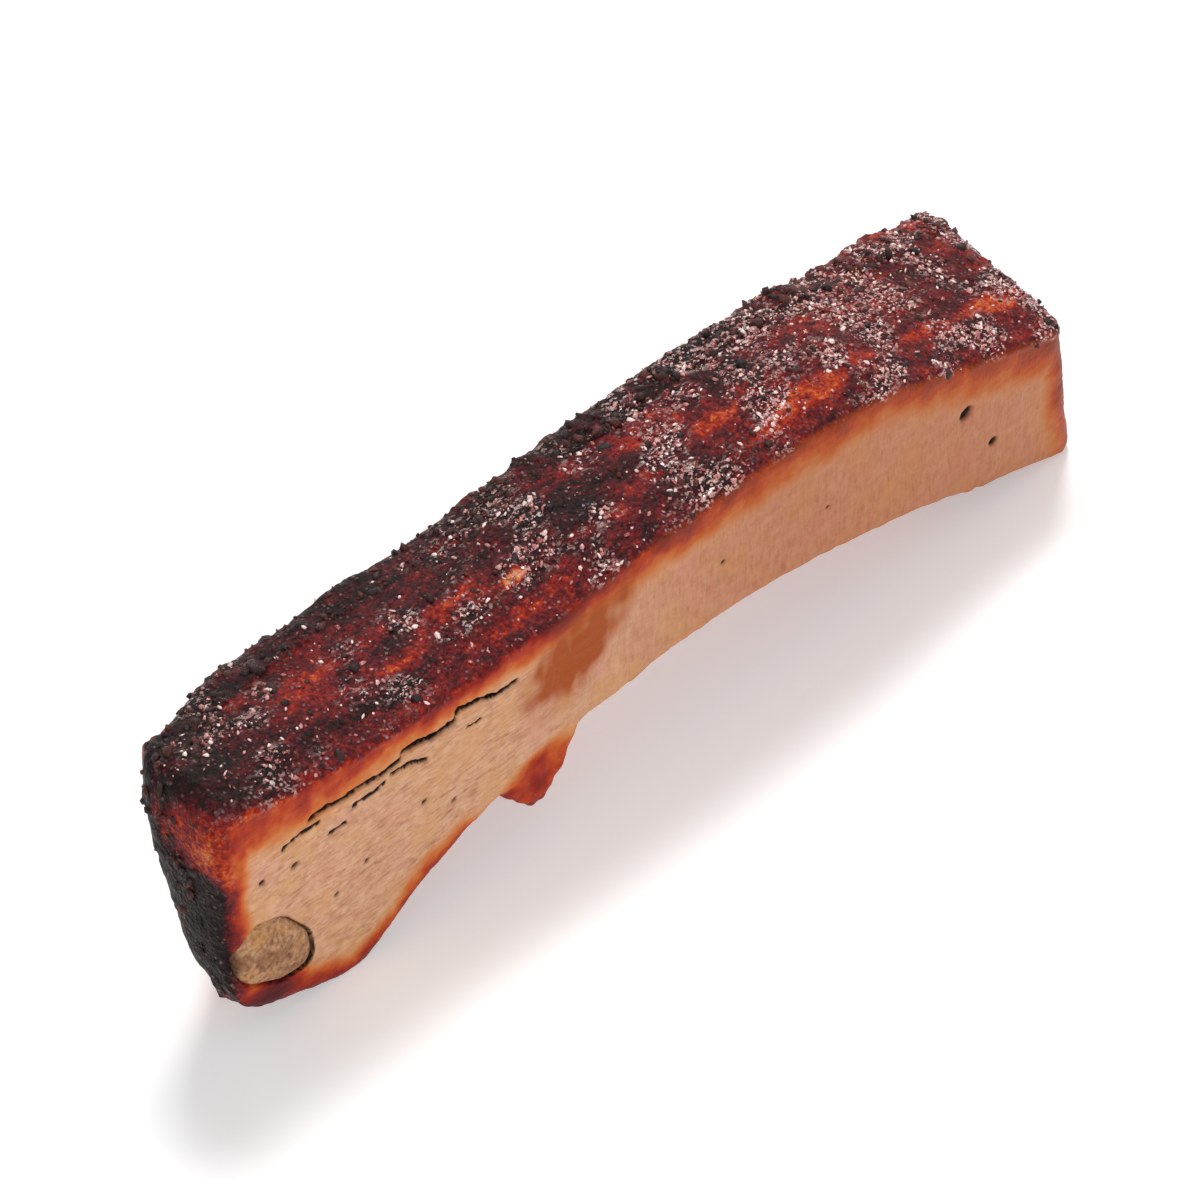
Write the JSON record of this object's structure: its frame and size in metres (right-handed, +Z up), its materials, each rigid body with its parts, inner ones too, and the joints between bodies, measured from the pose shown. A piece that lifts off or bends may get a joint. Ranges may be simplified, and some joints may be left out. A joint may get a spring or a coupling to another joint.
{
  "type": "barbecued pork sparerib cut from a rack",
  "caption": "Bowed bar of glazed pork sparerib with a dark bark, flat pale knife cuts and its rib bone running through it, lying on its underside.",
  "frame": {"origin": "middle of the box's underside, on the surface that the rib lies on", "axes": "+X along the rib from the end where the bone shows in the front cut to the far end, +Y from the front cut face to the back cut face, +Z up through the bark"},
  "size_m": [0.1824, 0.0352, 0.0443],
  "materials": {
    "roast_meat": "pale tan cooked lean with a dark wine-red caramelised glaze on top",
    "rib_bone": "matt, grainy, greyish tan cooked bone"
  },
  "bodies": {
    "root": {"meat": "roast_meat", "rib_bone": "rib_bone"}
  },
  "joints": []
}
